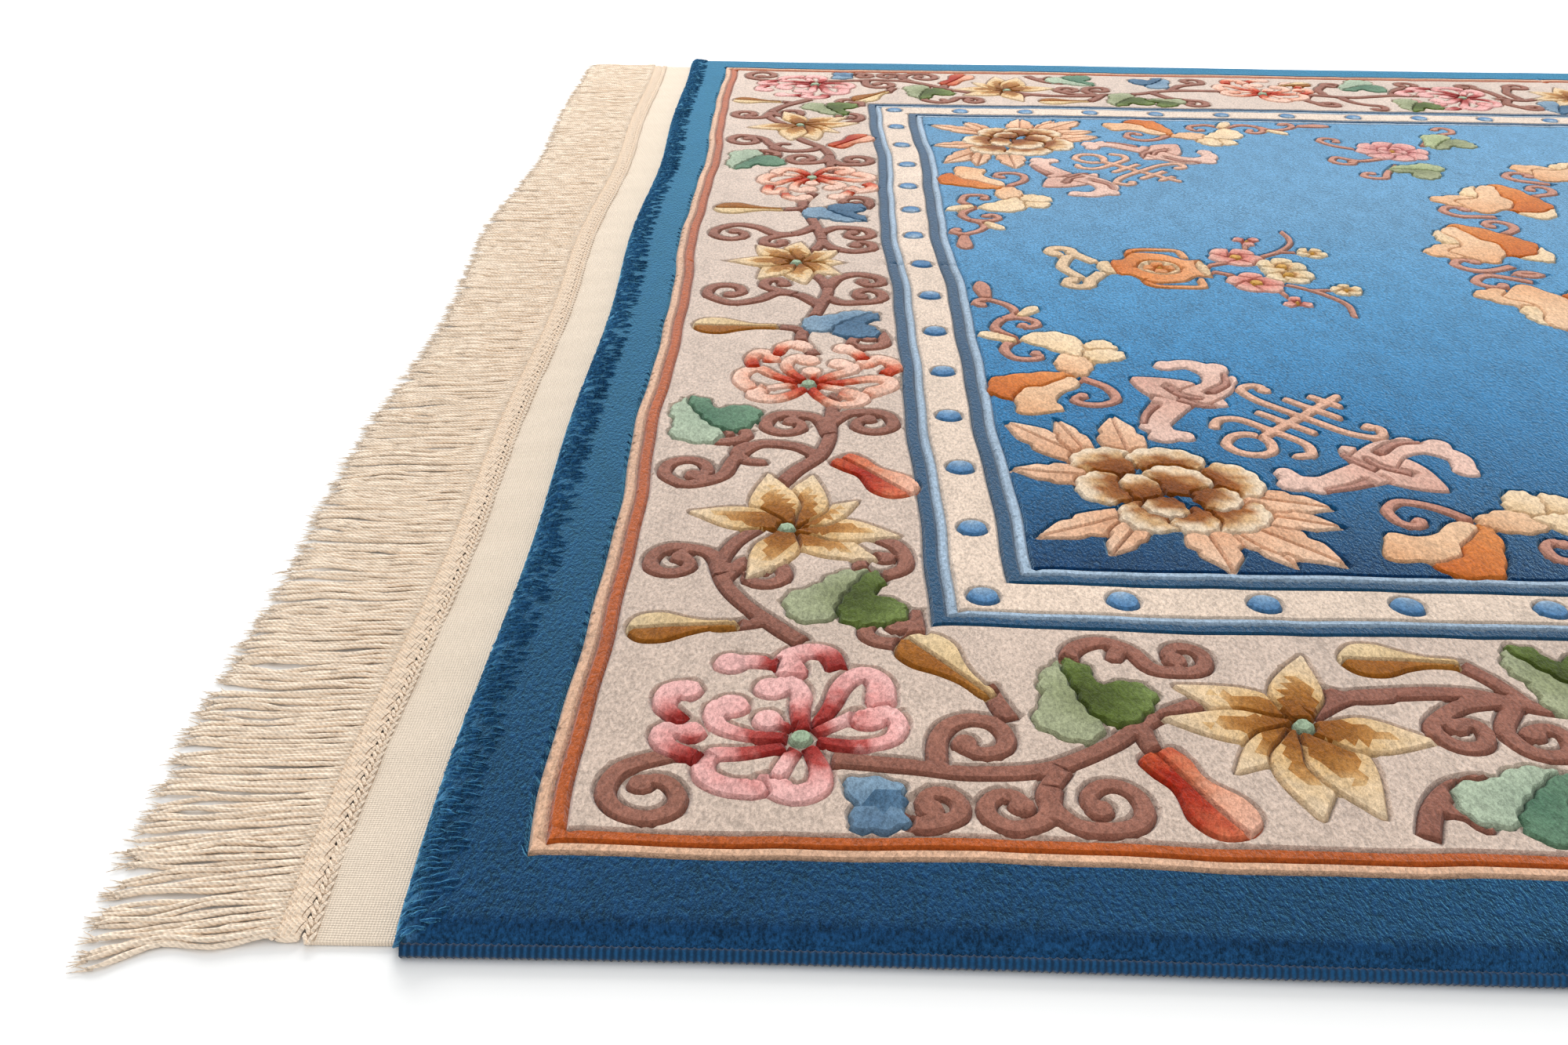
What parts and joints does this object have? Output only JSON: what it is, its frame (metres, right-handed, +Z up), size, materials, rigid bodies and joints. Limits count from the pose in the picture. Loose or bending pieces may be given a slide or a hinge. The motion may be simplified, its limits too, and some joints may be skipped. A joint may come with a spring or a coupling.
{
  "type": "peking rug",
  "caption": "Hand-knotted carved wool rug lying flat, with flat-woven cotton ends, overcast sides and a cotton fringe.",
  "frame": {"origin": "middle of the rug, on the floor under it", "axes": "+X along the rug's length towards one fringed end, +Y across its width, +Z up out of the pile"},
  "size_m": [2.658, 1.7122, 0.0145],
  "materials": {
    "pile_wool": "matte",
    "web_cotton": "matte",
    "fringe_cotton": "matte",
    "selvedge_wool": "matte"
  },
  "bodies": {
    "root": {"pile": "pile_wool", "web_left": "web_cotton", "web_right": "web_cotton", "fringe_left": "fringe_cotton", "fringe_right": "fringe_cotton", "selvedge_near": "selvedge_wool", "selvedge_far": "selvedge_wool"}
  },
  "joints": []
}
